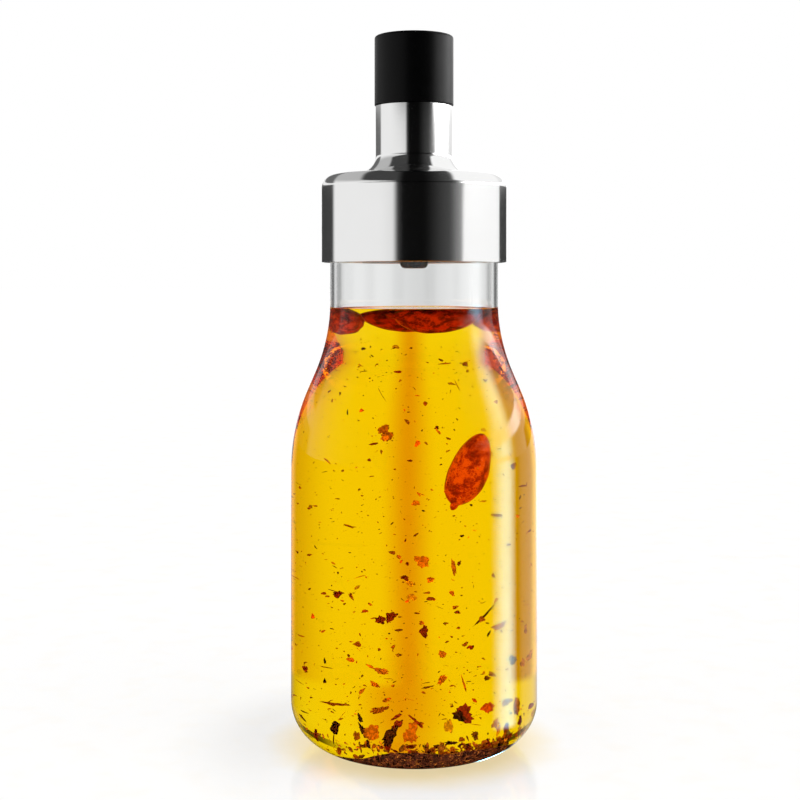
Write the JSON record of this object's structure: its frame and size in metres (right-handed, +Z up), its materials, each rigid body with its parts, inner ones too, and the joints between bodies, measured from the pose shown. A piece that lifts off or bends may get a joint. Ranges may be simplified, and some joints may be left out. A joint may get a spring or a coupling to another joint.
{
  "type": "salad dressing shaker bottle",
  "caption": "Clear glass bottle of dressing with floating berries and herbs, a steel collar that plugs into the neck, and a black silicone cap that pulls up to open the spout.",
  "frame": {"origin": "centre of the glass base on the surface that the bottle stands on", "axes": "+Z up along the bottle's axis, +X to the right and +Y away from the viewer as pictured"},
  "size_m": [0.0649, 0.0648, 0.1865],
  "materials": {
    "clear_glass": "polished",
    "oil": "polished",
    "herbs": "matte",
    "berry_skin": "satin",
    "steel": "satin",
    "stainless_plate": "satin",
    "black_plastic": "satin",
    "dark_nut": "gloss",
    "grey_silicone": "satin",
    "black_silicone": "matte"
  },
  "bodies": {
    "bottle": {"bottle_glass": "clear_glass", "dressing": "oil", "herb_sediment": "herbs", "berry_floating_front": "berry_skin", "berry_floating_left": "berry_skin", "berry_floating_right": "berry_skin", "berry_floating_back": "berry_skin", "berry_sinking": "berry_skin"},
    "lid": {"collar_shell": "steel", "lid_core": "black_plastic", "plug_seal_lower": "grey_silicone", "plug_seal_upper": "grey_silicone", "rim_gasket": "grey_silicone", "pour_tube": "black_plastic", "drip_ring": "black_silicone", "strainer_disc": "stainless_plate", "stem_guide": "black_plastic", "stem_grip_ring": "grey_silicone"},
    "cap": {"cap_sleeve": "black_silicone", "cap_core": "black_plastic", "cap_o_ring_lower": "grey_silicone", "cap_o_ring_upper": "grey_silicone", "valve_stem": "stainless_plate", "stem_stop": "dark_nut"}
  },
  "joints": [
    {"name": "lid_lift", "type": "slide", "parent": "bottle", "child": "lid", "axis": [0, 0, 1], "range_m": [0, 0.03]},
    {"name": "cap_lift", "type": "slide", "parent": "lid", "child": "cap", "axis": [0, 0, 1], "range_m": [0, 0.0094]}
  ]
}
